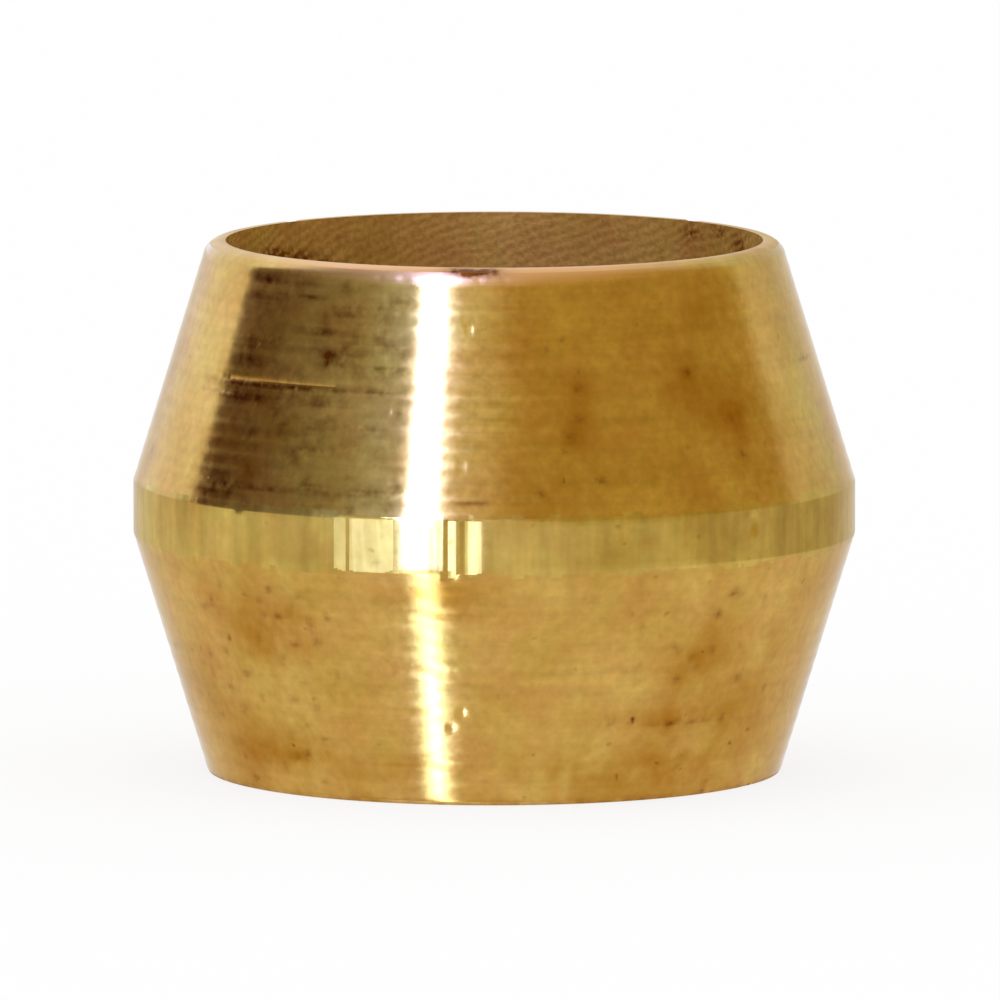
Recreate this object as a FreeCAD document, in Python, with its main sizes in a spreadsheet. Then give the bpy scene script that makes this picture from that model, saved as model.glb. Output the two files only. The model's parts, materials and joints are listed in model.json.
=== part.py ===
import FreeCAD
import Part
import Sketcher

import os

# Compression olive for a quarter-inch tube, turned from brass bar as one piece.
# Two outer cones rise from thin lips to a short plain land at the middle, and a straight bore runs through.
# It is the same either way up: it stands on one lip, and the bore's axis is Z.
# The origin is the centre of the lip face that it stands on.

# Driving dimensions in millimetres, each with what it sets.
DIMENSIONS = [
    ("tube_diameter", 6.35, "outside of the tube that the olive slides over"),
    ("tube_clearance", 0.05, "slack between bore and tube, on the diameter"),
    ("overall_length", 6.35, "from lip face to lip face"),
    ("land_length", 0.62, "height of the plain band between the cones"),
    ("land_wall", 1.1, "wall between the bore and the land"),
    ("ridge_radius", 0.15, "rounding of the two ridges where the cones meet the land"),
    ("lip_face", 0.06, "width of the flat ring at each end"),
    ("lip_chamfer", 0.125, "break of each lip's outer edge"),
    ("mouth_chamfer", 0.03, "break of the bore's edge at each mouth"),
]

# The wall at each end, before its edges are broken, leaves the flat ring between the two breaks.
BORE_RADIUS = "(dims.tube_diameter + dims.tube_clearance) / 2"
LIP_WALL = "dims.lip_face + dims.lip_chamfer + dims.mouth_chamfer"

NODE = "compression_olive"
PARTS_FOLDER = "parts"
FULL_TURN = 360
SAME_RADIUS = 1e-6

# How a sketch numbers the ends of a line and its own axes and origin.
START, END = 1, 2
HORIZONTAL_AXIS = -1
ORIGIN = (-1, 1)


def make_sheet(doc):
    """The spreadsheet of driving dimensions: alias, value and meaning, one row each."""
    sheet = doc.addObject("Spreadsheet::Sheet", "dims")
    for row, (alias, value, meaning) in enumerate(DIMENSIONS, start=1):
        sheet.set(f"A{row}", alias)
        sheet.set(f"B{row}", str(value))
        sheet.set(f"C{row}", meaning)
        sheet.setAlias(f"B{row}", alias)
    doc.recompute()
    return sheet


def origin_plane(body, role):
    """The body's own origin plane of that role, such as XZ_Plane."""
    return next(plane for plane in body.Origin.OriginFeatures if plane.Role == role)


def bind(sketch, name, constraint, expression):
    """Adds a named size to the sketch and ties it to the driving dimensions."""
    number = sketch.addConstraint(constraint)
    sketch.renameConstraint(number, name)
    sketch.setExpression(f"Constraints.{name}", expression)


def bind_distance(sketch, name, kind, first, second, expression):
    """Ties the gap between two points, across (DistanceX) or up (DistanceY), to the driving dimensions."""
    gap = sketch.getPoint(*second) - sketch.getPoint(*first)
    drawn = gap.x if kind == "DistanceX" else gap.y
    bind(sketch, name, Sketcher.Constraint(kind, *first, *second, drawn), expression)


def round_ridges(doc, sketch, land, radius):
    """Arcs at both ends of the land, with the sharp corners kept as the points that carry the sizes."""
    doc.recompute()
    for ridge in (START, END):
        sketch.fillet(land, ridge, radius, True, True)
    lower_arc, upper_arc = [
        number for number, item in enumerate(sketch.Geometry) if isinstance(item, Part.ArcOfCircle)
    ]
    sketch.addConstraint(Sketcher.Constraint("Equal", lower_arc, upper_arc))
    bind(sketch, "ridge_radius", Sketcher.Constraint("Radius", lower_arc, radius), "dims.ridge_radius")


def draw_section(doc, body, sheet):
    """Half section of the ring, right of the axis: lips, cones, land and bore wall."""
    sketch = body.newObject("Sketcher::SketchObject", "HalfSection")
    sketch.AttachmentSupport = (origin_plane(body, "XZ_Plane"), "")
    sketch.MapMode = "FlatFace"

    # A rough outline, anticlockwise from the bore's lower mouth; the constraints give it its sizes.
    outline = [(3, 0), (4, 0), (5, 3), (5, 4), (4, 7), (3, 7)]
    corners = [FreeCAD.Vector(x, y, 0) for x, y in outline]
    sides = sketch.addGeometry(
        [Part.LineSegment(start, end) for start, end in zip(corners, corners[1:] + corners[:1])]
    )
    lower_lip, lower_cone, land, upper_cone, upper_lip, bore = sides

    for side, following in zip(sides, sides[1:] + sides[:1]):
        sketch.addConstraint(Sketcher.Constraint("Coincident", side, END, following, START))
    for side in (lower_lip, upper_lip):
        sketch.addConstraint(Sketcher.Constraint("Horizontal", side))
    for side in (land, bore):
        sketch.addConstraint(Sketcher.Constraint("Vertical", side))
    sketch.addConstraint(Sketcher.Constraint("PointOnObject", lower_lip, START, HORIZONTAL_AXIS))
    # Both ends are alike: lips of one width and cones of one length.
    sketch.addConstraint(Sketcher.Constraint("Equal", lower_lip, upper_lip))
    sketch.addConstraint(Sketcher.Constraint("Equal", lower_cone, upper_cone))

    mouth = (lower_lip, START)
    distances = [
        ("bore_radius", "DistanceX", ORIGIN, mouth, BORE_RADIUS),
        ("lip_wall", "DistanceX", mouth, (lower_lip, END), LIP_WALL),
        ("land_wall", "DistanceX", mouth, (land, START), "dims.land_wall"),
        ("land_length", "DistanceY", (land, START), (land, END), "dims.land_length"),
        ("overall_length", "DistanceY", (bore, END), (bore, START), "dims.overall_length"),
    ]
    for distance in distances:
        bind_distance(sketch, *distance)
    round_ridges(doc, sketch, land, sheet.ridge_radius)
    return sketch


def turn_ring(body, sketch):
    """The section turned once about the bore's axis."""
    ring = body.newObject("PartDesign::Revolution", "TurnedRing")
    ring.Profile = sketch
    ring.ReferenceAxis = (sketch, ["V_Axis"])
    ring.Angle = FULL_TURN
    sketch.Visibility = False
    return ring


def circles_of(feature, radius):
    """Names of the feature's circular edges of that radius."""
    names = []
    for number, edge in enumerate(feature.Shape.Edges, start=1):
        if isinstance(edge.Curve, Part.Circle) and abs(edge.Curve.Radius - radius) < SAME_RADIUS:
            names.append(f"Edge{number}")
    return names


def break_edges(doc, body, base, name, radius, size):
    """A chamfer on the circular edges of one radius, which lie at both ends of the olive."""
    doc.recompute()
    chamfer = body.newObject("PartDesign::Chamfer", name)
    chamfer.Base = (base, circles_of(base, radius))
    chamfer.setExpression("Size", size)
    return chamfer


def build_olive(doc, sheet):
    """The whole olive: the turned ring with the edges of its lips and of its bore broken."""
    body = doc.addObject("PartDesign::Body", "Olive")
    body.Label = NODE
    section = draw_section(doc, body, sheet)
    ring = turn_ring(body, section)
    doc.recompute()
    bore_radius = section.getDatum("bore_radius").Value
    lip_radius = bore_radius + section.getDatum("lip_wall").Value
    lips = break_edges(doc, body, ring, "LipEdges", lip_radius, "dims.lip_chamfer")
    break_edges(doc, body, lips, "BoreMouths", bore_radius, "dims.mouth_chamfer")
    body.Placement = FreeCAD.Placement()
    return body


def check(doc, body):
    """Stops the build if any object failed to compute or the olive isn't one valid solid."""
    doc.recompute()
    failed = [item.Name for item in doc.Objects if {"Invalid", "Error"} & set(item.State)]
    if failed:
        raise RuntimeError(f"these objects failed: {failed}")
    shape = body.Shape
    if shape.isNull() or not shape.isValid() or len(shape.Solids) != 1:
        raise RuntimeError(f"{body.Label} is not one valid solid")


def main():
    doc = FreeCAD.newDocument("CompressionOlive")
    body = build_olive(doc, make_sheet(doc))
    check(doc, body)
    os.makedirs(PARTS_FOLDER, exist_ok=True)
    body.Shape.exportStep(os.path.join(PARTS_FOLDER, f"{body.Label}.step"))
    box = body.Shape.optimalBoundingBox(True, False)
    print(f"{body.Label}: {box.XLength:.3f} x {box.YLength:.3f} x {box.ZLength:.3f} mm")
    print(f"volume {body.Shape.Volume:.3f} mm3, {len(body.Shape.Faces)} faces")


main()
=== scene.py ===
# %% [markdown]
# # A compression olive in turned brass
# A compression olive is the ring that a fitting squeezes onto a tube. It is turned from brass bar in one go:
# two outer cones, a short land of bare bar between them, thin lips at both ends and a straight bore.
# The engineering model of the same part is loaded first. It gives the true size and the place of everything,
# and the piece that is modelled here stands in its place.

# %% Load the engineering model
import json
import math
import random

import bmesh
import bpy
import numpy as np
from mathutils import Matrix, Vector


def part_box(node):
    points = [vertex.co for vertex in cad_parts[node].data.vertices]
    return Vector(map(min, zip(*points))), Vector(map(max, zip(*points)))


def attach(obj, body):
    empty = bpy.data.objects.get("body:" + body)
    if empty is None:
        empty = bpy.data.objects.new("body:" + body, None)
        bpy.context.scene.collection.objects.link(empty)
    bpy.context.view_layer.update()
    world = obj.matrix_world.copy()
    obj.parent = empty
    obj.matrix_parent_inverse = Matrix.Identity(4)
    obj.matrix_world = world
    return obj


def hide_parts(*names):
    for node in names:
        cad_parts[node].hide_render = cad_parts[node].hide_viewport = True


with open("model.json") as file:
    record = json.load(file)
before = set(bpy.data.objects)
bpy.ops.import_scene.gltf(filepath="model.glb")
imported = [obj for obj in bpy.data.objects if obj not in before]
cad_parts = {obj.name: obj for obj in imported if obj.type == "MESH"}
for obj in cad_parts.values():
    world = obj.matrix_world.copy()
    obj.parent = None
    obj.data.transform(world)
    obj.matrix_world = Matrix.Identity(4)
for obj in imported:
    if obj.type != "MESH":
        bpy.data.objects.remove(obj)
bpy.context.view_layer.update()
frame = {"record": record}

NODE = "compression_olive"

# %% [markdown]
# ## Sizes
# The land's radius, the length and the bore are read from the engineering model, so they can't drift from it.
# The few sizes that it doesn't state, such as the break of an edge, are written here once, in millimetres.
# Blender works in metres, so every millimetre value is multiplied by MM.

# %% Name the sizes
MM = 0.001
high_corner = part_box(NODE)[1]
mounts = {mount["name"]: mount for mount in frame["record"]["mounts"]}
LENGTH = high_corner.z
LAND_RADIUS = high_corner.x
BORE_RADIUS = mounts["tube_bore"]["dims"]["r_mm"] * MM
LAND_LENGTH = 0.62 * MM
RIDGE_RADIUS = 0.15 * MM
LIP_FACE = 0.06 * MM
LIP_BREAK = 0.125 * MM
MOUTH_BREAK = 0.03 * MM
LIP_RADIUS = BORE_RADIUS + MOUTH_BREAK + LIP_FACE + LIP_BREAK
LAND_BOTTOM = (LENGTH - LAND_LENGTH) / 2
LAND_TOP = (LENGTH + LAND_LENGTH) / 2
CONE_TILT = math.atan2(LAND_RADIUS - LIP_RADIUS, LAND_BOTTOM)
print(f"length {LENGTH / MM:.2f} mm, land {2 * LAND_RADIUS / MM:.2f} mm across")
print(f"cones at {math.degrees(CONE_TILT):.1f} degrees")

# %% [markdown]
# ## Ways to select
# An operator works on what is selected, so a modeller in code needs a way to point at things.
# Points and edges are picked by where they are, which stays right when a size changes.
# Places on a round piece are easiest to give as a turn: degrees round the axis, counted from the side
# that faces the camera.

# %% Helpers that measure and select
def turn_of(place):
    """Degrees round the axis from the camera's side, positive to the right."""
    return math.degrees(math.atan2(place.x, -place.y))


def radius_of(place):
    """Distance from the axis."""
    return math.hypot(place.x, place.y)


def on_circle(turn, radius, height=0):
    """The point at this turn, radius and height."""
    angle = math.radians(turn)
    return Vector((radius * math.sin(angle), -radius * math.cos(angle), height))


def select_where(elements, wanted):
    """Selects, in edit mode, only those points, edges or faces of a mesh that pass the test."""
    bpy.ops.mesh.select_all(action="DESELECT")
    chosen = [element for element in elements if wanted(element)]
    for element in chosen:
        element.select_set(True)
    return len(chosen)


def select_points(piece, wanted):
    """Selects only the points whose place passes the test."""
    mesh = bmesh.from_edit_mesh(piece.data)
    found = select_where(mesh.verts, lambda point: wanted(point.co))
    mesh.select_flush(True)
    bmesh.update_edit_mesh(piece.data)
    return found


def select_edges(piece, wanted):
    """Selects only the edges whose two ends pass the test."""
    mesh = bmesh.from_edit_mesh(piece.data)
    found = select_where(mesh.edges, lambda edge: wanted(edge.verts[0].co, edge.verts[1].co))
    bmesh.update_edit_mesh(piece.data)
    return found


def select_faces(piece, wanted):
    """Selects only the faces whose centre passes the test."""
    mesh = bmesh.from_edit_mesh(piece.data)
    found = select_where(mesh.faces, lambda face: wanted(face.calc_center_median()))
    bmesh.update_edit_mesh(piece.data)
    return found


# %% [markdown]
# ## The half section
# A turned piece is fully told by its half section, the outline that the tool leaves on one side of the axis.
# It could be built up from cylinders and cones, but then every edge between them would need stitching.
# A ring of six points has exactly the corners that the section needs, so it is added in the XZ plane
# and each point is moved to its corner.

# %% Place the six corners
CORNERS = [
    (LIP_RADIUS, 0),
    (LAND_RADIUS, LAND_BOTTOM),
    (LAND_RADIUS, LAND_TOP),
    (LIP_RADIUS, LENGTH),
    (BORE_RADIUS, LENGTH),
    (BORE_RADIUS, 0),
]
bpy.ops.object.select_all(action="DESELECT")
bpy.ops.mesh.primitive_circle_add(
    vertices=len(CORNERS), radius=LAND_RADIUS, rotation=(math.radians(90), 0, 0)
)
olive = bpy.context.active_object
olive.name = "turned_olive"
olive.data.name = "turned_olive"
bpy.ops.object.transform_apply(location=True, rotation=True, scale=True)
starts = [point.co.copy() for point in olive.data.vertices]
bpy.ops.object.mode_set(mode="EDIT")
SAME_PLACE = 1e-7
for start, (radius, height) in zip(starts, CORNERS):
    select_points(olive, lambda place: (place - start).length < SAME_PLACE)
    bpy.ops.transform.translate(value=Vector((radius, 0, height)) - start)
print("section corners:", len(CORNERS))

# %% [markdown]
# ## Broken edges
# No turned edge is perfectly sharp. The lips' outer edges are broken widely, the bore's mouths only slightly,
# and the ridges at the land's two ends are barely rounded. Bevelling a point of the outline cuts its corner,
# and a few segments round the cut, which is what makes an edge catch the light. The profile tells how full
# the rounding is: the upper lip is worn, and the foot keeps a crisper corner.

# %% Break the corners of the section
ROUND = 0.5
WORN = 0.44
CRISP = 0.82
RIDGE_SEGMENTS = 3
LIP_SEGMENTS = 6
MOUTH_SEGMENTS = 2
BOTTOM_END = (0, LENGTH / 2)
TOP_END = (LENGTH / 2, LENGTH)
BOTH_ENDS = (0, LENGTH)


def break_corners(piece, radius, ends, size, segments, profile):
    """Bevels the corners of the section that lie at one radius, between two heights."""
    low, high = ends
    found = select_points(piece, lambda place: abs(place.x - radius) < SAME_PLACE and low <= place.z <= high)
    bpy.ops.mesh.bevel(offset=size, segments=segments, profile=profile, affect="VERTICES")
    return found


RIDGE_CUT = RIDGE_RADIUS * math.tan(CONE_TILT / 2)
broken = break_corners(olive, LAND_RADIUS, BOTH_ENDS, RIDGE_CUT, RIDGE_SEGMENTS, ROUND)
broken += break_corners(olive, LIP_RADIUS, TOP_END, LIP_BREAK, LIP_SEGMENTS, WORN)
broken += break_corners(olive, LIP_RADIUS, BOTTOM_END, LIP_BREAK, LIP_SEGMENTS, CRISP)
broken += break_corners(olive, BORE_RADIUS, BOTH_ENDS, MOUTH_BREAK, MOUTH_SEGMENTS, ROUND)
print("corners broken:", broken, "points in the section:", len(bmesh.from_edit_mesh(olive.data).verts))

# %% [markdown]
# ## Feed marks
# The tool moves along a little with each turn and leaves shallow scallops, one per turn of the lathe.
# They are what stretches a highlight along the piece. Each cone is divided four times per turn, and
# the points between two crests are pushed in by one or two thousandths of a millimetre, a little more
# or less each time.

# %% Divide the cones and push in the scallops
FEED = 0.2 * MM
STEPS_PER_FEED = 4
SCALLOP_DEPTH = 0.0016 * MM
DEPTH_VARIES = (0.5, 1.5)
# Half-way from its bottom to a crest, a round scallop is three quarters as deep.
SIDE_SHARE = 0.75
FULL_CONE = 1.0 * MM
cone_edges = select_edges(
    olive, lambda one, other: (one - other).length > FULL_CONE and abs(one.x - other.x) > LIP_BREAK
)
cone_slant = LAND_BOTTOM / math.cos(CONE_TILT)
turns_per_cone = round(cone_slant / FEED)
bpy.ops.mesh.subdivide(number_cuts=turns_per_cone * STEPS_PER_FEED - 1)

inward_below = Vector((-math.cos(CONE_TILT), 0, math.sin(CONE_TILT)))
inward_above = Vector((-math.cos(CONE_TILT), 0, -math.sin(CONE_TILT)))
LIP_TOP = LIP_BREAK * math.cos(CONE_TILT)
RIDGE_DROP = RIDGE_CUT * math.cos(CONE_TILT)
chance = random.Random(6)


def cone_heights(bottom, top):
    """Heights of the section's outer points between two heights, from the lowest up."""
    mesh = bmesh.from_edit_mesh(olive.data)
    outer = [point.co.z for point in mesh.verts if point.co.x > LIP_RADIUS]
    return sorted(height for height in outer if bottom - SAME_PLACE < height < top + SAME_PLACE)


def push_in(heights, direction, depth):
    """Moves the section's outer points at these heights along a direction."""
    select_points(
        olive, lambda place: place.x > LIP_RADIUS and any(abs(place.z - h) < SAME_PLACE for h in heights)
    )
    bpy.ops.transform.translate(value=direction * depth)


cones = [
    (cone_heights(LIP_TOP, LAND_BOTTOM - RIDGE_DROP), inward_below),
    (cone_heights(LAND_TOP + RIDGE_DROP, LENGTH - LIP_TOP), inward_above),
]
for heights, inward in cones:
    for crest in range(0, len(heights) - STEPS_PER_FEED, STEPS_PER_FEED):
        depth = SCALLOP_DEPTH * chance.uniform(*DEPTH_VARIES)
        push_in([heights[crest + 2]], inward, depth)
        push_in([heights[crest + 1], heights[crest + 3]], inward, depth * SIDE_SHARE)
print("cones divided:", cone_edges, "turns on each:", turns_per_cone)

# %% [markdown]
# ## Divide the land and the bore
# The land and the bore are still one long edge each. The land gets a few points, because it will be dented.
# The bore gets a few as well, and its upper end, which can be seen through the mouth, gets more,
# because colour will be dabbed on point by point.

# %% Divide the straight runs
LAND_STEPS = 8
BORE_STEPS = 8
MOUTH_STEPS = 12
select_edges(
    olive, lambda one, other: one.x > LAND_RADIUS - SAME_PLACE and other.x > LAND_RADIUS - SAME_PLACE
)
bpy.ops.mesh.subdivide(number_cuts=LAND_STEPS - 1)
select_edges(olive, lambda one, other: (one - other).length > FULL_CONE)
bpy.ops.mesh.subdivide(number_cuts=BORE_STEPS - 1)
MOUTH_END = LENGTH * (1 - 1 / BORE_STEPS) - MOUTH_BREAK
select_edges(
    olive,
    lambda one, other: max(one.x, other.x) < BORE_RADIUS + SAME_PLACE
    and min(one.z, other.z) > MOUTH_END,
)
bpy.ops.mesh.subdivide(number_cuts=MOUTH_STEPS - 1)
print("points in the finished section:", len(bmesh.from_edit_mesh(olive.data).verts))

# %% [markdown]
# ## Turn the section
# The lathe carries the section once round the axis. Edit mode's Spin does that too, but with this many
# steps it takes half a minute, and the Screw modifier with no rise does it at once. Once it is applied,
# doubled points are merged, with a limit far below the smallest scallop, and the normals are worked out
# again to point outwards.

# %% Turn it once round
SEGMENTS = 540
MERGE_LIMIT = 1e-8
bpy.ops.object.mode_set(mode="OBJECT")
bpy.ops.object.modifier_add(type="SCREW")
lathe = olive.modifiers[-1]
lathe.axis = "Z"
lathe.angle = math.tau
lathe.steps = SEGMENTS
lathe.render_steps = SEGMENTS
lathe.use_merge_vertices = True
lathe.merge_threshold = MERGE_LIMIT
bpy.ops.object.modifier_apply(modifier=lathe.name)
bpy.ops.object.mode_set(mode="EDIT")
bpy.ops.mesh.select_all(action="SELECT")
bpy.ops.mesh.remove_doubles(threshold=MERGE_LIMIT)
bpy.ops.mesh.normals_make_consistent(inside=False)
print("faces after turning:", len(bmesh.from_edit_mesh(olive.data).faces))

# %% [markdown]
# ## Grooves
# Half-way down the upper cone the tool paused and left a groove with a fainter one below it, and a few
# short ones cross the bright line on the lower cone. A groove could be cut with a boolean, but one this
# shallow is only a row of points that lies deeper. Shrink/Fatten pushes points in along their own normals,
# so one helper serves the grooves and every dent below: it takes a window of turns and heights and presses
# in what lies there. A groove is pressed bit by bit round the piece, and it fades at both ends.

# %% Press in the grooves
def press(left, right, bottom, top, depth):
    """Pushes the outer skin in, between two turns in degrees and two heights in mm, by a depth in mm."""
    select_points(
        olive,
        lambda place: left <= turn_of(place) < right
        and bottom * MM <= place.z <= top * MM
        and radius_of(place) > BORE_RADIUS + MOUTH_BREAK / 2,
    )
    bpy.ops.transform.shrink_fatten(value=-depth * MM)


# Half a row's height in mm, so that a window of twice this takes one row of points.
ONE_ROW = 0.024
BIT = 2
# Name, height and depth in mm; then in degrees the left end and its rise, the right end and its fall.
GROOVES = [
    ("tool mark", 4.97, 0.0155, -62, 9, -15, 16),
    ("tool mark, lower line", 4.84, 0.012, -62, 11, -34, 14),
    ("across the bright line, first", 2.33, 0.006, -20, 6, -3, 8),
    ("across the bright line, second", 1.64, 0.005, -18, 5, -5, 6),
    ("across the bright line, third", 0.47, 0.007, -20, 6, -1, 8),
]
bpy.ops.mesh.select_mode(type="VERT")
for name, height, depth, left, rise, right, fall in GROOVES:
    for turn in range(left, right, BIT):
        share = min(1, (turn + BIT - left) / rise, (right - turn) / fall)
        press(turn, turn + BIT, height - ONE_ROW, height + ONE_ROW, depth * share)
    print(name, "at", height, "mm")

# %% [markdown]
# ## Flats
# Beside the bright line the land has a few narrow flats, knocked in so that they face near the same light,
# and they flash. A flat is a plane that cuts the skin. It is told by its left and right turn, the turn
# that it faces and the turn where it meets the skin. What lies beyond the plane is selected and scaled
# to nothing across it, which lays every point onto the plane. The scaling gets axes of its own, and
# the first one looks out of the flat. The planes are kept, because the flats get a finish of their own.

# %% Knock in the flats
FLATS = [
    ("wide flat, left strip", -26.2, -23.4, -22, -26.2),
    ("wide flat", -23.4, -15.2, -20, -24.5),
    ("left bar", -7.5, -5.4, -8.4, -1.6),
    ("right bar", -5.3, -1.6, -8.4, -1.6),
]
planes = []
for name, left, right, faces, meets in FLATS:
    facing = on_circle(faces, 1)
    flat_axes = Matrix((facing, on_circle(faces + 90, 1), (0, 0, 1))).transposed()
    line = LAND_RADIUS * math.cos(math.radians(meets - faces))
    planes.append((left, right, facing, line))
    found = select_points(
        olive,
        lambda place: left <= turn_of(place) < right and place.z <= LAND_TOP and place.dot(facing) > line,
    )
    bpy.ops.transform.resize(
        value=(0, 1, 1),
        orient_type="GLOBAL",
        orient_matrix=flat_axes,
        orient_matrix_type="GLOBAL",
        center_override=facing * line,
    )
    print(name, "takes", found, "points")

# %% [markdown]
# ## Nicks
# Small nicks on the upper ridge, the land, the lower cone and the lips are pressed in with the helper
# from before. Where a nick would look too sharp, a shallower one beside it softens one side.

# %% Press in the nicks
# Name, left and right turn in degrees, then bottom, top and depth in mm.
NICKS = [
    ("upper ridge, left", -45.2, -43.8, 3.47, 3.54, 0.004),
    ("land, right", 44.2, 46.4, 3.2, 3.42, 0.018),
    ("lower cone, near the light", -6.3, -5.7, 1.11, 1.2, 0.01),
    ("lower cone, its shallow side", -5.7, -5.0, 1.11, 1.2, 0.005),
    ("lower cone, below it", -8.3, -7.7, 0.91, 1.0, 0.006),
    ("lower cone, its shallow side", -7.7, -7.0, 0.91, 1.0, 0.003),
    ("front lip", -7.9, -0.9, 6.31, 6.36, 0.025),
    ("front lip's edge, first", -23.8, -22.6, 6.19, 6.25, 0.006),
    ("front lip's edge, second", -18.8, -17.0, 6.19, 6.25, 0.006),
    ("front lip's edge, third", -3.8, -2.6, 6.19, 6.25, 0.006),
    ("front lip's edge, fourth", 1.4, 2.6, 6.19, 6.25, 0.006),
    ("back lip, left", -134, -130, 6.3, 6.36, 0.012),
    ("back lip, right", 131.5, 136, 6.3, 6.36, 0.012),
]
for name, *window in NICKS:
    press(*window)
print("nicks:", [name for name, *window in NICKS])

# %% [markdown]
# ## Dents that sparkle
# Tiny dents on both sides of the bright line catch its light. They are one point wide and placed by chance,
# with a seed of their own, so that they don't move when something else changes.

# %% Press in the dents that sparkle
ONE_COLUMN = 360 / SEGMENTS
# Name, left and right turn in degrees, and how many.
SPARKLES = [("left of the bright line", -22, -16.5, 16), ("right of it", -7.5, -4.5, 7)]
SPARKLE_LOW, SPARKLE_HIGH = 3.65, 6.0
SPARKLE_DEPTH = (0.004, 0.009)
sparkle = random.Random(3)
for name, left, right, count in SPARKLES:
    for number in range(count):
        turn = sparkle.uniform(left, right)
        height = sparkle.uniform(SPARKLE_LOW, SPARKLE_HIGH)
        depth = sparkle.uniform(*SPARKLE_DEPTH)
        press(turn, turn + ONE_COLUMN, height - ONE_ROW, height + ONE_ROW, depth)
    print("dents", name, count)
bpy.ops.object.mode_set(mode="OBJECT")

# %% [markdown]
# ## Shading
# Faces that meet at a small angle are shaded as one smooth skin, so the cones look round.
# Edges sharper than the limit stay crisp.

# %% Shade smooth
SHARP_FROM = math.radians(30)
bpy.ops.object.select_all(action="DESELECT")
olive.select_set(True)
bpy.context.view_layer.objects.active = olive
bpy.ops.object.shade_smooth_by_angle(angle=SHARP_FROM)
print("olive measures, in mm:", [round(side / MM, 3) for side in olive.dimensions])

# %% [markdown]
# ## Paint the tarnish, the grime, the painted shade and the lip's painted pink
# Brass browns where fingers and damp have been. The front of the upper lip was filed, so it is dull, and its
# pink is a painted reflection. Grime sits in grooves and in small spots, each with a brown halo. Some dabs
# are
# painted shade: along the foot, low on the right, on the bright line below the land and beside it higher up,
# in the tool mark, in the front lip's nick and in the bore's corners. All are placed like brush dabs: each
# has a turn, a height, a width in degrees, a height of its own in mm and a strength.
# The dark side gets many small ones by chance, and so does the far side, which isn't seen.

# %% List the dabs
TOP = LENGTH / MM
# So wide that a dab is the same all the way round.
ALL_ROUND = 1000
# The thin film that covers the whole piece.
EVERYWHERE = 0.12
tarnish_and_shade_dabs = [
    (13, 4.5, 6, 0.9, 0.3),
    (15, 3.85, 8, 0.35, 0.35),
    (6, 3.7, 5, 0.25, 0.45),
    (36, 5.1, 8, 0.5, 0.5),
    (43, 4.5, 8, 0.7, 0.75),
    (35, 5.8, 12, 0.3, 0.5),
    (54, 4.6, 6, 0.5, 0.4),
    (22, 3.17, 12, 0.3, 0.4),
    (-38, 2.2, 9, 0.45, 0.65),
    (-44, 1.9, 8, 0.35, 0.6),
    (-39, 0.55, 12, 0.35, 0.75),
    (-52, 0.4, 8, 0.3, 0.6),
    (-58, 1.0, 12, 0.5, 0.5),
    (36, 1.9, 7, 0.6, 0.4),
    (33, 1.0, 12, 0.14, 0.7),
    # Painted shade on the lower right.
    (50, 1.5, 16, 1.0, 0.4),
    # Painted shade along the bottom of the front.
    (10, 0.35, 60, 0.35, 0.2),
    (36, 0.4, 16, 0.35, 0.8),
    (8, 0.45, 7, 0.25, 0.6),
    (13.6, 0.25, 1.3, 0.35, -0.5),
    # Painted shade that dims the bright line to cream just below the land.
    (-11.5, 2.6, 7, 0.2, 0.9),
    (-11, 2.33, 9, 0.03, 0.5),
    (-11, 1.64, 9, 0.03, 0.5),
    (-11, 0.47, 9, 0.03, 0.6),
    # Tarnish along the foot, laid on stronger as painted shade at its edge.
    (0, 0, ALL_ROUND, 0.1, 0.5),
]
# The filed front of the upper lip: duller, and painted pink as a reflection.
filed_pink_reflection_dabs = [(-5, TOP, 48, 0.2, 1)]

SPOTS = [
    (14.9, 4.96), (14.6, 4.63), (13, 4.41), (7.4, 3.78), (17.6, 3.93),
    (36.7, 5.09), (44.9, 4.52), (45.5, 4.11),
    (-38.5, 2.22), (-44.2, 1.91), (-53.5, 2.35), (-31.1, 1.95),
    (-37.8, 0.54), (-40.5, 0.49), (-54.7, 0.16),
    (42.2, 2.49), (40, 2.25), (36.2, 1.74), (33.8, 1.47), (48.2, 1.41),
    (21.7, 1.02), (26, 1), (33.8, 0.93), (46.5, 0.95), (45.7, 0.03), (-19.1, 2.98),
]
SPOT_WIDTH = 0.8
SPOT_HEIGHT = 0.05
SPOT_STRENGTH = 0.8
# How many times as large as its spot a halo is.
HALO = 3.5
HALO_STRENGTH = 0.2
grime_and_shade_dabs = [
    # The tool mark's dark lines: grime in the groove, laid on thick as its painted shade.
    (-43, 4.91, 14, 0.035, 2.2),
    (74.8, 5.06, 4, 0.03, 0.9),
    (-48, 4.77, 8, 0.035, 1.4),
    (-43, 3.75, 14, 0.035, 0.9),
    (-3.6, 3.68, 3.5, 0.03, 0.8),
    # Painted shade beside the bright line, on its right.
    (-3, 4.9, 4.5, 1.2, 0.2),
    # Painted shade in the front lip's nick, dark red-brown.
    (-4.4, TOP - 0.03, 4.5, 0.06, 3),
    (36, 0.95, 9, 0.03, 0.7),
    # Painted shade along the foot's edge.
    (0, 0, ALL_ROUND, 0.05, 0.7),
]
grime_and_shade_dabs += [(turn, height, SPOT_WIDTH, SPOT_HEIGHT, SPOT_STRENGTH) for turn, height in SPOTS]
tarnish_and_shade_dabs += [
    (turn, height, HALO * SPOT_WIDTH, HALO * SPOT_HEIGHT, HALO_STRENGTH) for turn, height in SPOTS
]
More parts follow.
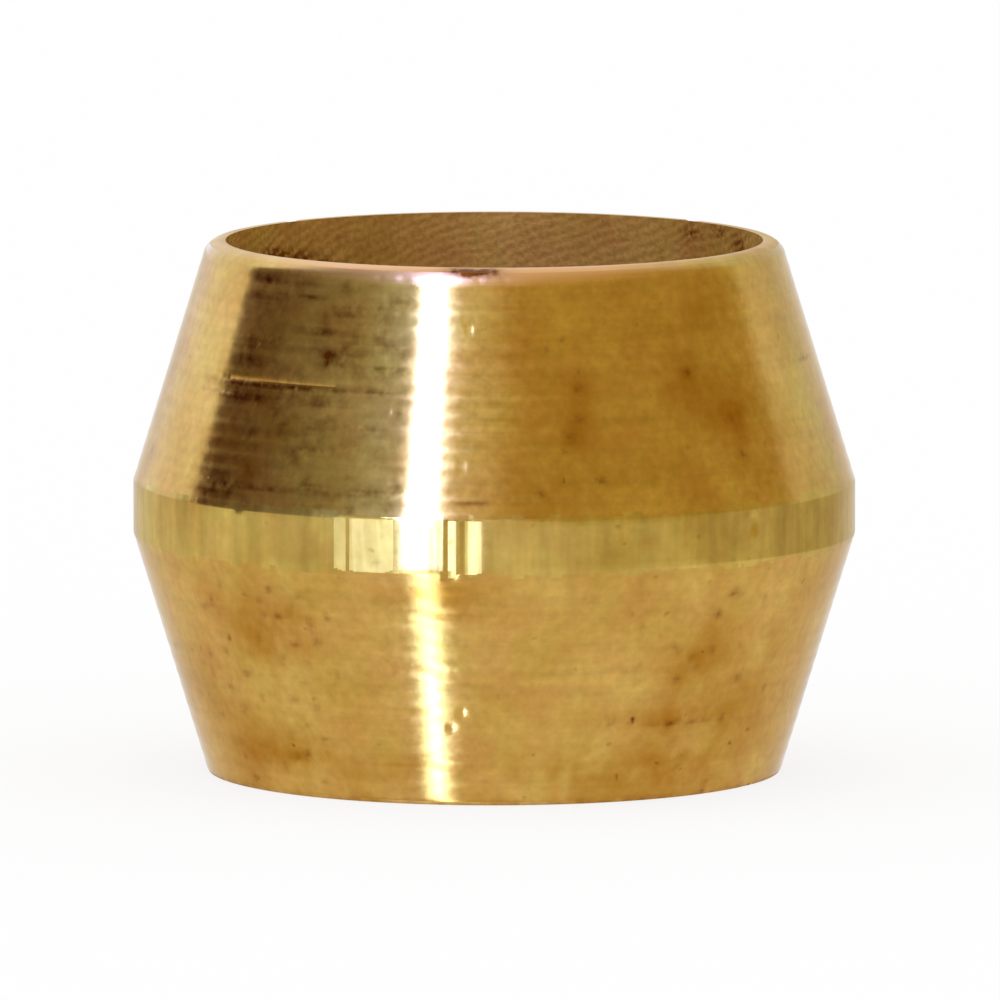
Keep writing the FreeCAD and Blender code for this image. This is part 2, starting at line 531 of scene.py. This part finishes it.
# Painted shade in the bore's corners and just behind the front lip.
bore_painted_shade_dabs = [
    (-92, 6.24, 9, 0.1, 1),
    (-124, 5.97, 5, 0.1, 1.4),
    (-131.5, 5.89, 5, 0.1, 1.4),
    (-139.7, 5.81, 5, 0.08, 1.2),
    (113.7, 6.15, 3, 0.12, 1.2),
    (122.9, 6.27, 2.5, 0.07, 1.2),
    (132.5, 6.22, 2.5, 0.07, 1.2),
]


def by_chance(count, turns, heights, wide, tall, strength):
    """That many dabs, each value drawn between its two limits."""
    limits = (turns, heights, wide, tall, strength)
    return [tuple(chance.uniform(*pair) for pair in limits) for number in range(count)]


DARK_SIDE = (-54, -16)
LOW_LEFT = (-62, -28)
LOW_RIGHT = (25, 58)
BACK = (75, 285)
UPPER_CONE = (3.55, TOP - 0.2)
LOWER_CONE = (0.05, 2.6)
# How many, where round and up the piece, then the limits of width, height and strength.
grime_and_shade_dabs += by_chance(80, DARK_SIDE, UPPER_CONE, (2, 6), (0.025, 0.045), (0.2, 0.7))
grime_and_shade_dabs += by_chance(80, DARK_SIDE, UPPER_CONE, (0.8, 2.5), (0.05, 0.12), (0.15, 0.6))
tarnish_and_shade_dabs += by_chance(25, DARK_SIDE, UPPER_CONE, (2, 5), (0.1, 0.3), (0.1, 0.5))
grime_and_shade_dabs += by_chance(45, LOW_LEFT, LOWER_CONE, (0.5, 1.2), (0.03, 0.06), (0.2, 0.7))
grime_and_shade_dabs += by_chance(25, LOW_RIGHT, LOWER_CONE, (0.5, 1.2), (0.03, 0.06), (0.15, 0.5))
tarnish_and_shade_dabs += by_chance(12, BACK, (0.3, TOP - 0.3), (5, 12), (0.2, 0.6), (0.4, 0.9))
grime_and_shade_dabs += by_chance(30, BACK, (0.1, TOP - 0.2), (1, 2), (0.05, 0.1), (0.3, 0.8))
print("dabs of tarnish and grime:", len(tarnish_and_shade_dabs), len(grime_and_shade_dabs) + len(bore_painted_shade_dabs))

# %% [markdown]
# ## Lay the dabs on
# A dab is strongest in its middle and fades out softly. What the dabs add up to is kept as an attribute
# of the points, which the materials read. The bore gets the thin film and painted shade of its own, but no
# dabs of tarnish.

# %% Dab them onto the points
# Attribute names. The tarnish and grime layers carry painted shade as well; the pink on the filed lip is a
# painted reflection.
TARNISH_AND_SHADE = "tarnish_and_shade"
FILED_PINK_REFLECTION = "filed_pink_reflection"
GRIME_AND_SHADE = "grime_and_shade"
places = np.empty(3 * len(olive.data.vertices))
olive.data.vertices.foreach_get("co", places)
x, y, z = places.reshape(-1, 3).T
turns = np.degrees(np.arctan2(x, -y))
heights = z / MM
in_bore = np.hypot(x, y) < BORE_RADIUS + MOUTH_BREAK / 2


def dabbed(dabs):
    """What the dabs add up to at every point."""
    total = np.zeros(len(turns))
    for turn, height, wide, tall, strength in dabs:
        across = ((turns - turn + 180) % 360 - 180) / wide
        up = (heights - height) / tall
        total += strength * np.exp(-across**2 - up**2)
    return total


# Tarnish and grime hold painted shade as well as stains and dirt; the filed lip's layer holds its painted
# pink reflection.
layers = {
    TARNISH_AND_SHADE: EVERYWHERE + np.where(in_bore, 0, dabbed(tarnish_and_shade_dabs)),
    FILED_PINK_REFLECTION: dabbed(filed_pink_reflection_dabs),
    GRIME_AND_SHADE: np.where(in_bore, dabbed(bore_painted_shade_dabs), dabbed(grime_and_shade_dabs)),
}
# Grime and painted shade twice as thick as they need be still cover where the grain thins them; more would
# only look flat.
THICKEST = 2
SHOWS = 0.3
for name, values in layers.items():
    layer = olive.data.attributes.new(name, "FLOAT", "POINT")
    layer.data.foreach_set("value", np.clip(values, 0, THICKEST).astype(np.float32))
    print(name, "covers", round(100 * float(np.mean(values > SHOWS))), "percent")

# %% [markdown]
# ## Materials
# Brass is a yellow alloy of copper and zinc. A material here starts from two helpers:
# one turns a colour as it is written on screen into the linear light that Blender works in,
# and one adds a node, sets its values and links what feeds it.

# %% Helpers for colours and nodes
def linear(code):
    """A colour written as sRGB hex, as linear red, green, blue and full alpha."""
    channels = [int(code[at:at + 2], 16) / 255 for at in (1, 3, 5)]
    curve = [c / 12.92 if c <= 0.04045 else ((c + 0.055) / 1.055) ** 2.4 for c in channels]
    return (*curve, 1.0)


def add_node(tree, kind, settings=None, sockets=None):
    """Adds a node, sets its properties, and sets or links its sockets by name or number."""
    made = tree.nodes.new(kind)
    for name, value in (settings or {}).items():
        setattr(made, name, value)
    for name, value in (sockets or {}).items():
        if isinstance(value, bpy.types.NodeSocket):
            tree.links.new(value, made.inputs[name])
        else:
            made.inputs[name].default_value = value
    return made


def new_material(name):
    """An empty node material and its tree."""
    material = bpy.data.materials.new(name)
    material.use_nodes = True
    material.node_tree.nodes.clear()
    return material, material.node_tree


PER_MM = 1 / MM
# The mix node's sockets for colours share their names with others, so they go by number.
COLOUR_A, COLOUR_B, COLOUR_OUT = 6, 7, 2
print("brass yellow in linear light:", [round(channel, 3) for channel in linear("#c9a254")])

# %% [markdown]
# ## Pits
# Handled brass is peppered with small pits, which show as dark specks. A Voronoi pattern gives the distance
# to scattered points, and what lies close to one is a pit. A random value for each point makes some large
# and leaves others out, and a little noise makes them ragged.

# %% Scatter the pits
PIT_SPACING = 0.22
PIT_RADIUS = 0.045
PIT_RUFFLE = 0.12
# How much the pits differ in size, and how many of the points get none.
PIT_SPREAD = 3
PIT_RARITY = 1.4
GRAIN_SIZE = 0.12


def scattered_pits(tree, place):
    """Ragged little pits: 1 at the bottom of a large one, 0 between them."""
    noise = add_node(
        tree, "ShaderNodeTexNoise", sockets={"Vector": place, "Scale": PER_MM / GRAIN_SIZE, "Detail": 1}
    ).outputs["Color"]
    ruffled = add_node(
        tree,
        "ShaderNodeVectorMath",
        {"operation": "MULTIPLY_ADD"},
        {0: noise, 1: [PIT_RUFFLE * MM] * 3, 2: place},
    ).outputs[0]
    cells = add_node(
        tree, "ShaderNodeTexVoronoi", sockets={"Vector": ruffled, "Scale": PER_MM / PIT_SPACING}
    ).outputs
    reach = add_node(
        tree,
        "ShaderNodeMath",
        {"operation": "MULTIPLY_ADD"},
        {0: cells["Color"], 1: PIT_SPREAD, 2: -PIT_RARITY},
    ).outputs[0]
    return add_node(
        tree,
        "ShaderNodeMath",
        {"operation": "MULTIPLY_ADD", "use_clamp": True},
        {0: cells["Distance"], 1: -PIT_SPACING / PIT_RADIUS, 2: reach},
    ).outputs[0]


# %% [markdown]
# ## The colour of handled brass
# Every finish here is the same bare brass, so one function mixes its colour: two tones in soft clouds,
# patches that are a little redder or greener, a grain that lightens and darkens, and then what was dabbed on:
# tarnish and grime with the painted shade among them, and the lip's painted pink reflection.
# A noise seldom leaves the middle of its range, so that part is stretched over the whole.

# %% Mix the colour
CLOUD_SIZE = 0.9
PATCH_SIZE = 0.6
NOISE_LOW, NOISE_HIGH = 0.35, 0.65
GRAIN_LOW, GRAIN_HIGH = 0.3, 0.7
# The hue node changes nothing at 0.5; a little less is redder, a little more is greener.
REDDER, GREENER = 0.493, 0.506
LEAST_TARNISH_AND_SHADE = 0.2
# How dark the pits are on clean brass, and how much darker where it is tarnished.
SPECKS = 0.15
SPECKS_IN_TARNISH = 0.9
# The pink between these two strengths is the edge of what was filed and painted with a pink reflection.
FILED_PINK_FROM, FILED_PINK_TO = 0.3, 0.7
# Tarnish's brown, also the colour of the painted shade low on the piece and on the bright line.
TARNISH_AND_SHADE_BROWN = "#a26a12"
# The filed lip's pink, a painted reflection.
PAINTED_PINK_REFLECTION = "#e0ac72"
# Grime's brown, also the colour of the painted shade in the tool mark, the lip's nick, the bore, along the
# foot and beside the bright line.
GRIME_AND_SHADE_BROWN = "#703a0a"


def handled_brass(tree, place, tones, grain, contrast, pits):
    """The colour of bare brass with all that was dabbed on it, painted shade and the lip's painted pink
    reflection included, and where it was filed.
    """
    clouds = add_node(
        tree,
        "ShaderNodeTexNoise",
        sockets={"Vector": place, "Scale": PER_MM / CLOUD_SIZE, "Detail": 4, "Roughness": 0.6},
    ).outputs["Fac"]
    cloudy = add_node(
        tree, "ShaderNodeMapRange", sockets={"Value": clouds, "From Min": NOISE_LOW, "From Max": NOISE_HIGH}
    ).outputs[0]
    bright, dull = (linear(tone) for tone in tones)
    clouded = add_node(
        tree, "ShaderNodeMix", {"data_type": "RGBA"}, {0: cloudy, COLOUR_A: dull, COLOUR_B: bright}
    ).outputs[COLOUR_OUT]
    patches = add_node(
        tree, "ShaderNodeTexNoise", sockets={"Vector": place, "Scale": PER_MM / PATCH_SIZE, "Detail": 3}
    ).outputs["Fac"]
    hue = add_node(
        tree,
        "ShaderNodeMapRange",
        sockets={
            "Value": patches,
            "From Min": NOISE_LOW,
            "From Max": NOISE_HIGH,
            "To Min": REDDER,
            "To Max": GREENER,
        },
    ).outputs[0]
    shade = add_node(
        tree,
        "ShaderNodeMapRange",
        sockets={
            "Value": grain,
            "From Min": GRAIN_LOW,
            "From Max": GRAIN_HIGH,
            "To Min": 1 - contrast,
            "To Max": 1 + contrast,
        },
    ).outputs[0]
    colour = add_node(
        tree, "ShaderNodeHueSaturation", sockets={"Hue": hue, "Value": shade, "Color": clouded}
    ).outputs[0]

    painted = {}
    for name in (TARNISH_AND_SHADE, FILED_PINK_REFLECTION, GRIME_AND_SHADE):
        painted[name] = add_node(tree, "ShaderNodeAttribute", {"attribute_name": name}).outputs["Fac"]
    patchy = add_node(
        tree,
        "ShaderNodeMapRange",
        sockets={
            "Value": clouds,
            "From Min": GRAIN_HIGH,
            "From Max": NOISE_LOW,
            "To Min": LEAST_TARNISH_AND_SHADE,
        },
    ).outputs[0]
    # Tarnish, with the painted shade low on the piece and on the bright line.
    tarnish_and_shade = add_node(
        tree, "ShaderNodeMath", {"operation": "MULTIPLY"}, {0: painted[TARNISH_AND_SHADE], 1: patchy}
    ).outputs[0]
    speck_share = add_node(
        tree,
        "ShaderNodeMath",
        {"operation": "MULTIPLY_ADD"},
        {0: painted[TARNISH_AND_SHADE], 1: SPECKS_IN_TARNISH, 2: SPECKS},
    ).outputs[0]
    specks = add_node(
        tree, "ShaderNodeMath", {"operation": "MULTIPLY"}, {0: pits, 1: speck_share}
    ).outputs[0]
    rubbed = add_node(
        tree, "ShaderNodeMapRange", sockets={"Value": grain, "From Min": GRAIN_HIGH, "From Max": NOISE_LOW}
    ).outputs[0]
    # Grime, with the painted shade that is laid on the same way.
    grime_and_shade = add_node(
        tree, "ShaderNodeMath", {"operation": "MULTIPLY"}, {0: painted[GRIME_AND_SHADE], 1: rubbed}
    ).outputs[0]
    dirt_and_shade = add_node(tree, "ShaderNodeMath", {"operation": "MAXIMUM"}, {0: specks, 1: grime_and_shade}).outputs[0]
    # Where the lip was filed: duller, and painted pink as a reflection.
    filed_and_painted_pink = add_node(
        tree,
        "ShaderNodeMapRange",
        sockets={"Value": painted[FILED_PINK_REFLECTION], "From Min": FILED_PINK_FROM, "From Max": FILED_PINK_TO},
    ).outputs[0]
    # Tarnish and grime carry painted shade as well, and the filed lip's pink is a painted reflection.
    for share, over in ((tarnish_and_shade, TARNISH_AND_SHADE_BROWN), (filed_and_painted_pink, PAINTED_PINK_REFLECTION), (dirt_and_shade, GRIME_AND_SHADE_BROWN)):
        colour = add_node(
            tree, "ShaderNodeMix", {"data_type": "RGBA"}, {0: share, COLOUR_A: colour, COLOUR_B: linear(over)}
        ).outputs[COLOUR_OUT]
    return colour, filed_and_painted_pink


# %% [markdown]
# ## Brass under a tool
# What differs from face to face is the tool that left it. Its lines run round the cones and along the land.
# They spread a reflection across themselves, which is what anisotropy does in the shader. Lines and grain
# are a bump of a few thousandths of a millimetre, and pits and filed places are duller. On the cones the
# roughness also rises and falls, once per turn of the lathe, so the bright line gets the teeth of a comb.
# A metal keeps its default index of refraction.

# %% One brass finish
ALONG_AXIS = 0.25
ROUND_AXIS = 0.0
PIT_DEPTH = 0.0004
PIT_DULLNESS = 0.12
FILED_ROUGHNESS = 0.4
# The tint at the rim, where any metal turns pale; handled brass stays a little grey there.
RIM_TINT = "#ece5d8"
# The wave node repeats every 2 pi / 20 of its coordinate, so this scale gives one wave per turn of the lathe.
FEED_SCALE = math.tau / 20 / (FEED * math.cos(CONE_TILT))


def brass(name, tones, line_size, line_share, heights, contrast, roughness, stretch, stretch_turn, comb=0.0):
    """Bare brass: its lines' size along X, Y and Z, and the heights of the lines and of the grain, in mm."""
    material, tree = new_material(name)
    place = add_node(tree, "ShaderNodeTexCoord").outputs["Object"]
    stretched = add_node(
        tree, "ShaderNodeMapping", sockets={"Vector": place, "Scale": [PER_MM / size for size in line_size]}
    ).outputs[0]
    lines = add_node(
        tree, "ShaderNodeTexNoise", sockets={"Vector": stretched, "Scale": 1, "Detail": 2, "Roughness": 0.6}
    ).outputs["Fac"]
    grain = add_node(
        tree, "ShaderNodeTexNoise", sockets={"Vector": place, "Scale": PER_MM / GRAIN_SIZE, "Detail": 2}
    ).outputs["Fac"]
    texture = add_node(
        tree, "ShaderNodeMix", sockets={0: line_share, 2: grain, 3: lines}
    ).outputs[0]
    pits = scattered_pits(tree, place)
    colour, filed_and_painted_pink = handled_brass(tree, place, tones, texture, contrast, pits)

    height = 0.0
    for relief, tall in zip((lines, grain, pits), (*heights, -PIT_DEPTH)):
        height = add_node(
            tree, "ShaderNodeMath", {"operation": "MULTIPLY_ADD"}, {0: relief, 1: tall, 2: height}
        ).outputs[0]
    bump = add_node(
        tree, "ShaderNodeBump", sockets={"Strength": 1, "Distance": MM, "Height": height}
    ).outputs[0]

    rough = add_node(
        tree,
        "ShaderNodeMapRange",
        sockets={
            "Value": texture,
            "From Min": GRAIN_LOW,
            "From Max": GRAIN_HIGH,
            "To Min": roughness[0],
            "To Max": roughness[1],
        },
    ).outputs[0]
    waves = add_node(
        tree,
        "ShaderNodeTexWave",
        {"bands_direction": "Z"},
        {"Vector": place, "Scale": FEED_SCALE, "Distortion": 0},
    ).outputs["Fac"]
    combed = add_node(tree, "ShaderNodeMath", {"operation": "MULTIPLY"}, {0: waves, 1: lines}).outputs[0]
    for dulled, amount in ((combed, comb), (pits, PIT_DULLNESS)):
        rough = add_node(
            tree, "ShaderNodeMath", {"operation": "MULTIPLY_ADD"}, {0: dulled, 1: amount, 2: rough}
        ).outputs[0]
    rough = add_node(tree, "ShaderNodeMix", sockets={0: filed_and_painted_pink, 2: rough, 3: FILED_ROUGHNESS}).outputs[0]
    round_axis = add_node(tree, "ShaderNodeTangent", {"direction_type": "RADIAL", "axis": "Z"}).outputs[0]
    shader = add_node(
        tree,
        "ShaderNodeBsdfPrincipled",
        sockets={
            "Base Color": colour,
            "Metallic": 1.0,
            "Roughness": rough,
            "Specular Tint": linear(RIM_TINT),
            "Anisotropic": stretch,
            "Anisotropic Rotation": stretch_turn,
            "Tangent": round_axis,
            "Normal": bump,
        },
    )
    add_node(tree, "ShaderNodeOutputMaterial", sockets={"Surface": shader.outputs[0]})
    return material


# %% [markdown]
# ## Four finishes from one function
# The cones, the land, the flats and the lips differ only in tone, lines, roughness and stretch,
# so each finish is one call with its own values.

# %% The brass finishes
# Turned cones: rings round the axis, so reflections are drawn out along it, with a comb of feed marks.
turned_brass = brass(
    "turned_brass",
    tones=("#c9a254", "#bf9448"),
    line_size=(3, 3, 0.12),
    line_share=0.4,
    heights=(0.001, 0.0004),
    contrast=0.15,
    roughness=(0.15, 0.2),
    stretch=0.9,
    stretch_turn=ALONG_AXIS,
    comb=0.08,
)
# Drawn land: the bar's own skin, with die lines along the axis, yellower and slightly wavy.
drawn_brass = brass(
    "drawn_brass",
    tones=("#c6ab58", "#b49447"),
    line_size=(0.24, 0.24, 2),
    line_share=0.8,
    heights=(0.006, 0.0006),
    contrast=0.2,
    roughness=(0.18, 0.24),
    stretch=0.3,
    stretch_turn=ROUND_AXIS,
)
# Struck flats: a duller skin that spreads the strip of light, so the whole flat turns cream.
struck_brass = brass(
    "struck_brass",
    tones=("#d9bf5d", "#ceb054"),
    line_size=(0.3, 0.3, 1.2),
    line_share=0.7,
    heights=(0.009, 0.001),
    contrast=0.2,
    roughness=(0.32, 0.42),
    stretch=0.0,
    stretch_turn=ROUND_AXIS,
)
# Cut lips: the edge breaks, dull from the file, with no clear direction.
cut_brass = brass(
    "cut_brass",
    tones=("#d8b064", "#c89c50"),
    line_size=(0.2, 0.2, 0.2),
    line_share=0.5,
    heights=(0.002, 0.001),
    contrast=0.1,
    roughness=(0.34, 0.42),
    stretch=0.0,
    stretch_turn=ROUND_AXIS,
)
finishes = (turned_brass, drawn_brass, struck_brass, cut_brass)
print("finishes:", [material.name for material in finishes])

# %% [markdown]
# ## The reamed bore
# The inside is dull and brown: a reamer leaves a close spiral of scratches that scatter light, and the bore
# sees little but itself. A spiral line is a slope in turn and height, so the pattern adds the two and takes
# the sine. The real scratches are too fine to show, so they are drawn about four times as coarse.

# %% Reamed brass
SPIRAL_PITCH = 0.12
SPIRAL_STARTS = 60
SPIRAL_WANDER = 14
SPIRAL_SHARE = 0.1
SCRATCH_HEIGHT = 0.01
BORE_CONTRAST = 0.18
BORE_GRAIN = GRAIN_SIZE / 2


def reamed(name, tones):
    """Dull brass with a spiral of scratches round the Z axis."""
    material, tree = new_material(name)
    place = add_node(tree, "ShaderNodeTexCoord").outputs["Object"]
    apart = add_node(tree, "ShaderNodeSeparateXYZ", sockets={0: place}).outputs
    angle = add_node(
        tree, "ShaderNodeMath", {"operation": "ARCTAN2"}, {0: apart["Y"], 1: apart["X"]}
    ).outputs[0]
    wander = add_node(
        tree, "ShaderNodeTexNoise", sockets={"Vector": place, "Scale": PER_MM / PATCH_SIZE, "Detail": 2}
    ).outputs["Fac"]
    strayed = add_node(
        tree, "ShaderNodeMath", {"operation": "MULTIPLY"}, {0: wander, 1: SPIRAL_WANDER}
    ).outputs[0]
    turned = add_node(
        tree, "ShaderNodeMath", {"operation": "MULTIPLY_ADD"}, {0: angle, 1: SPIRAL_STARTS, 2: strayed}
    ).outputs[0]
    phase = add_node(
        tree,
        "ShaderNodeMath",
        {"operation": "MULTIPLY_ADD"},
        {0: apart["Z"], 1: math.tau * PER_MM / SPIRAL_PITCH, 2: turned},
    ).outputs[0]
    spiral = add_node(tree, "ShaderNodeMath", {"operation": "SINE"}, {0: phase}).outputs[0]
    grain = add_node(
        tree, "ShaderNodeTexNoise", sockets={"Vector": place, "Scale": PER_MM / BORE_GRAIN, "Detail": 3}
    ).outputs["Fac"]
    scratched = add_node(
        tree, "ShaderNodeMath", {"operation": "MULTIPLY_ADD"}, {0: spiral, 1: SPIRAL_SHARE, 2: grain}
    ).outputs[0]
    pits = scattered_pits(tree, place)
    colour = handled_brass(tree, place, tones, scratched, BORE_CONTRAST, pits)[0]
    bump = add_node(
        tree,
        "ShaderNodeBump",
        sockets={"Strength": 1, "Distance": SCRATCH_HEIGHT * MM, "Height": scratched},
    ).outputs[0]
    shader = add_node(
        tree,
        "ShaderNodeBsdfPrincipled",
        sockets={
            "Base Color": colour,
            "Metallic": 0.35,
            "Roughness": 0.7,
            "Specular IOR Level": 0.05,
            "Specular Tint": linear(tones[0]),
            "Normal": bump,
        },
    )
    add_node(tree, "ShaderNodeOutputMaterial", sockets={"Surface": shader.outputs[0]})
    return material


reamed_brass = reamed("reamed_brass", ("#b68c44", "#a47a36"))
print("the bore's finish:", reamed_brass.name)

# %% [markdown]
# ## Put each finish on its faces
# One piece of metal carries five finishes, because each was made in another way. Each finish gets a slot,
# the faces are chosen by their place, and the slot is assigned to them. The bar was never quite round,
# so the land's skin runs on a little here and there and its edges wander.

# %% Assign the finishes
RUN_ON = 0.07 * MM
LIP_CUT = 0.05 * MM
STRIP_WIDTHS = (0.7, 3)
HALF_TURN = 180
strips = []
turn = -HALF_TURN
while turn < HALF_TURN:
    turn += chance.uniform(*STRIP_WIDTHS)
    strips.append((turn, chance.uniform(0, RUN_ON)))


def on_bore(centre):
    """Whether a face lies on the bore."""
    return radius_of(centre) < BORE_RADIUS + MOUTH_BREAK / 2


def on_lip(centre):
    """Whether a face lies on a lip, at either end."""
    return min(centre.z, LENGTH - centre.z) < LIP_CUT and not on_bore(centre)


def on_land(centre):
    """Whether a face lies on the land, or where its skin runs on."""
    beyond = max(LAND_BOTTOM - centre.z, centre.z - LAND_TOP)
    if on_bore(centre) or beyond > RUN_ON:
        return False
    return beyond < next(reach for right, reach in strips if turn_of(centre) <= right)


def on_flat(centre):
    """Whether a face lies on one of the flats' planes."""
    return any(
        left <= turn_of(centre) <= right and abs(centre.dot(facing) - line) < SAME_PLACE
        for left, right, facing, line in planes
    )


FINISHES = [
    (turned_brass, lambda centre: True),
    (drawn_brass, on_land),
    (struck_brass, on_flat),
    (cut_brass, on_lip),
    (reamed_brass, on_bore),
]
bpy.ops.object.mode_set(mode="EDIT")
bpy.ops.mesh.select_mode(type="FACE")
for number, (material, wanted) in enumerate(FINISHES):
    bpy.ops.object.material_slot_add()
    olive.active_material_index = number
    olive.material_slots[number].material = material
    faces = select_faces(olive, wanted)
    bpy.ops.object.material_slot_assign()
    print(material.name, "on", faces, "faces")
bpy.ops.object.mode_set(mode="OBJECT")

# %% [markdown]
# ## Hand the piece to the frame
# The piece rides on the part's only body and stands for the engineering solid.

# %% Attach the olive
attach(olive, "root")
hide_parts(NODE)
print(olive.name, "stands for", NODE)

# %% [markdown]
# ## White room and table
# The olive stands on a white table in a white room. The table glows for the camera, so that it stays white,
# and a share of it is matt paper that keeps the soft shadow. Reflections pass it by: the brass sees
# the white room there, and the lower half of the softbox.

# %% World and table
world = bpy.data.worlds.new("white_room")
world.use_nodes = True
world.node_tree.nodes.clear()
bpy.context.scene.world = world
sky = add_node(world.node_tree, "ShaderNodeBackground", sockets={"Color": (1, 1, 1, 1), "Strength": 1})
add_node(world.node_tree, "ShaderNodeOutputWorld", sockets={"Surface": sky.outputs[0]})

TABLE_SIZE = 4.0
TABLE_WHITENESS = 0.8
bpy.ops.object.select_all(action="DESELECT")
bpy.ops.mesh.primitive_plane_add(size=TABLE_SIZE, location=(0, 0, 0))
table = bpy.context.active_object
table.name = "white_table"
table.visible_glossy = False
paper, tree = new_material("white_paper")
matt = add_node(tree, "ShaderNodeBsdfDiffuse", sockets={"Color": linear("#fcfcfc")})
glow = add_node(tree, "ShaderNodeEmission", sockets={"Color": (1, 1, 1, 1), "Strength": 1})
rays = add_node(tree, "ShaderNodeLightPath").outputs
seen = rays["Is Camera Ray"]
for ray in ("Is Glossy Ray", "Is Transmission Ray"):
    seen = add_node(tree, "ShaderNodeMath", {"operation": "MAXIMUM"}, {0: seen, 1: rays[ray]}).outputs[0]
share = add_node(tree, "ShaderNodeMath", {"operation": "MULTIPLY"}, {0: seen, 1: TABLE_WHITENESS})
mixed = add_node(
    tree, "ShaderNodeMixShader", sockets={0: share.outputs[0], 1: matt.outputs[0], 2: glow.outputs[0]}
)
add_node(tree, "ShaderNodeOutputMaterial", sockets={"Surface": mixed.outputs[0]})
table.data.materials.append(paper)
print("table:", TABLE_SIZE, "m")

# %% [markdown]
# ## Cards and softboxes
# A metal shows what is around it, so the room matters as much as the finish: a dark flag on the left that
# pales towards the front, a warm wall on the right, a window behind on the left, a pale board behind on
# the right, a cream board below it, and a tall strip of daylight that draws the bright line down the front,
# with a dim margin on its left and a dimmer lower half with a bright core. The cards are seen only
# in reflections, and their edges fade out, so that most of them leave no hard line.

# %% Place the cards
SOFT_ENDS = 0.06
# Above 1, a card keeps its left colour longer before it turns to the right one.
PALING = 1.7


def card(name, turn, low, high, width, distance, colours, strength=1.0, soft=0.05):
    """A glowing card that faces the olive, told by angles in degrees, with colours from left to right."""
    middle = math.radians((low + high) / 2)
    out = on_circle(turn, math.cos(middle), math.sin(middle))
    centre = out * distance + Vector((0, 0, LENGTH / 2))
    bpy.ops.object.select_all(action="DESELECT")
    facing_out = out.to_track_quat("Z", "Y").to_euler()
    bpy.ops.mesh.primitive_plane_add(size=1, location=centre, rotation=facing_out)
    made = bpy.context.active_object
    made.name = name
    made.scale = (
        2 * distance * math.tan(math.radians(width / 2)),
        2 * distance * math.tan(math.radians((high - low) / 2)),
        1,
    )
    made.visible_camera = False
    made.visible_diffuse = False
    material, tree = new_material(name)
    place = add_node(tree, "ShaderNodeTexCoord").outputs["Object"]
    apart = add_node(tree, "ShaderNodeSeparateXYZ", sockets={0: place}).outputs
    along = add_node(
        tree, "ShaderNodeMapRange", sockets={"Value": apart["X"], "From Min": -0.5, "From Max": 0.5}
    ).outputs[0]
    paled = add_node(tree, "ShaderNodeMath", {"operation": "POWER"}, {0: along, 1: PALING}).outputs[0]
    tint = add_node(
        tree,
        "ShaderNodeMix",
        {"data_type": "RGBA"},
        {0: paled, COLOUR_A: linear(colours[0]), COLOUR_B: linear(colours[-1])},
    ).outputs[COLOUR_OUT]
    shown = 1.0
    for way, fade in (("X", soft), ("Y", SOFT_ENDS)):
        aside = add_node(tree, "ShaderNodeMath", {"operation": "ABSOLUTE"}, {0: apart[way]}).outputs[0]
        inside = add_node(
            tree, "ShaderNodeMapRange", sockets={"Value": aside, "From Min": 0.5, "From Max": 0.5 - fade}
        ).outputs[0]
        shown = add_node(tree, "ShaderNodeMath", {"operation": "MULTIPLY"}, {0: inside, 1: shown}).outputs[0]
    glow = add_node(tree, "ShaderNodeEmission", sockets={"Color": tint, "Strength": strength}).outputs[0]
    clear = add_node(tree, "ShaderNodeBsdfTransparent").outputs[0]
    faded = add_node(tree, "ShaderNodeMixShader", sockets={0: shown, 1: clear, 2: glow}).outputs[0]
    add_node(tree, "ShaderNodeOutputMaterial", sockets={"Surface": faded})
    made.data.materials.append(material)
    return made


# Name, turn, lowest and highest angle, width, distance in m, colours and strength.
cards = [
    card("dark_flag", -69.5, -3, 75, 91, 0.5, ["#55310d", "#ddf0fc"], 1.25, soft=0.01),
    card("warm_wall", 61, -8, 75, 108, 0.6, ["#d5c486"], soft=0.1),
    card("window", -147, 0, 60, 64, 0.5, ["#cfdcff"], 2.1, soft=0.01),
    card("pale_board", 148, 0, 60, 78, 0.5, ["#e4f2fa"], 1.14, soft=0.4),
    card("cream_board", 105, -14, -1, 100, 0.5, ["#dfd9c8"], soft=0.3),
    card("softbox_margin", -37, 2, 62, 28, 0.4, ["#b7cdff"], 1.4, soft=0.5),
    card("strip_softbox", -24.5, -11, 62, 8, 0.35, ["#8496ff"], 58, soft=0.04),
    card("lower_softbox", -25.5, -62, -11, 9, 0.34, ["#a9c4ff"], 5, soft=0.04),
    card("lower_core", -25, -62, -11, 4.5, 0.33, ["#a0bcff"], 18, soft=0.04),
]
print("cards:", [made.name for made in cards])

# %% [markdown]
# ## Camera
# A long lens from a quarter of a metre away, looking down a little, as the olive was seen.
# The small shift moves the frame, not the camera, to put the olive where it stands in the picture.

# %% Camera
CAMERA_DISTANCE = 0.25
CAMERA_TILT = math.radians(6.65)
PIXELS_PER_MM = 83.9
PICTURE = 1000
SENSOR = 36
OLIVE_AT = (494.3, 504.6)
middle = Vector((0, 0, LENGTH / 2))
towards_camera = Vector((0, -math.cos(CAMERA_TILT), math.sin(CAMERA_TILT)))
aim = towards_camera.to_track_quat("Z", "Y").to_euler()
bpy.ops.object.camera_add(location=middle + towards_camera * CAMERA_DISTANCE, rotation=aim)
camera = bpy.context.active_object
camera.data.sensor_width = SENSOR
camera.data.lens = PIXELS_PER_MM * (CAMERA_DISTANCE / MM) * SENSOR / PICTURE
camera.data.shift_x = (PICTURE / 2 - OLIVE_AT[0]) / PICTURE
camera.data.shift_y = (OLIVE_AT[1] - PICTURE / 2) / PICTURE
bpy.context.scene.camera = camera
bpy.context.scene.view_settings.view_transform = "Standard"
print(f"camera lens {camera.data.lens:.0f} mm")
